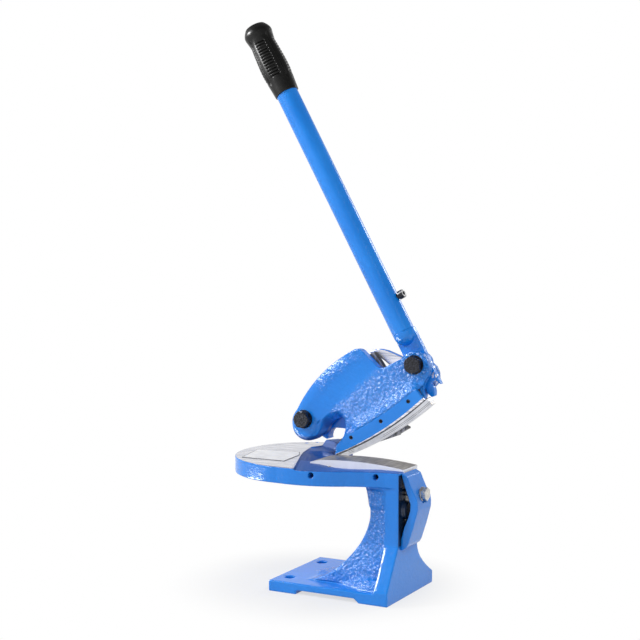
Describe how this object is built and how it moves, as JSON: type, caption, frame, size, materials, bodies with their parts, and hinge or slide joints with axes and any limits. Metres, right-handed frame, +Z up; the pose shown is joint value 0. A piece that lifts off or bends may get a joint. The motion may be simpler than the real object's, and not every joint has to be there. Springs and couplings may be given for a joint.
{
  "type": "bench lever shear",
  "caption": "Cast bench lever shear with a round table, a bowed lower blade and a swinging blade arm driven by a geared hand lever.",
  "frame": {"origin": "middle point between the two bench bolt holes, on the underside of the base", "axes": "+X to the right along the cut, +Y to the back, +Z up from the bench"},
  "size_m": [0.3319, 0.2435, 0.8385],
  "materials": {
    "casting_paint": "glossy blue enamel over a rough casting",
    "handle_paint": "glossy blue enamel",
    "blade_steel": "ground tool steel",
    "gear_steel": "bare machined steel",
    "black_steel": "black oxide fasteners",
    "zinc": "bright zinc plate",
    "bronze": "plain bearing bronze",
    "rubber": "black moulded rubber",
    "label": "blank satin plate"
  },
  "bodies": {
    "frame_body": {"frame": "casting_paint", "label_plate": "label", "lower_blade": "blade_steel", "lower_blade_set_screws": "black_steel", "blade_clamp": "casting_paint", "clamp_bolt": "zinc", "clamp_washer": "zinc", "toothed_segment": "gear_steel", "segment_screws": "black_steel", "segment_dowels": "gear_steel", "main_pivot_bolt": "black_steel", "main_pivot_washer": "black_steel", "main_pivot_nut": "black_steel"},
    "arm_body": {"upper_arm": "casting_paint", "upper_blade": "blade_steel", "upper_blade_set_screws": "black_steel", "main_pivot_bush": "bronze", "lever_pivot_bolt": "black_steel", "lever_pivot_washer": "black_steel"},
    "lever_body": {"lever_gear": "casting_paint", "lever_pivot_bush": "bronze", "handle_tube": "handle_paint", "handle_grip": "rubber", "tube_lock_screw": "black_steel"}
  },
  "joints": [
    {"name": "arm_swing", "type": "hinge", "parent": "frame_body", "child": "arm_body", "pos_m": [-0.0217, 0.05, 0.2368], "axis": [0, 1, 0], "range_deg": [0, 24]},
    {"name": "lever_swing", "type": "hinge", "parent": "arm_body", "child": "lever_body", "pos_m": [0.16079, 0.053, 0.32798], "axis": [0, 1, 0], "range_deg": [0, 87.3]}
  ],
  "couplings": [
    {"joint": "lever_swing", "follows": "arm_swing", "ratio": 3.6364}
  ]
}
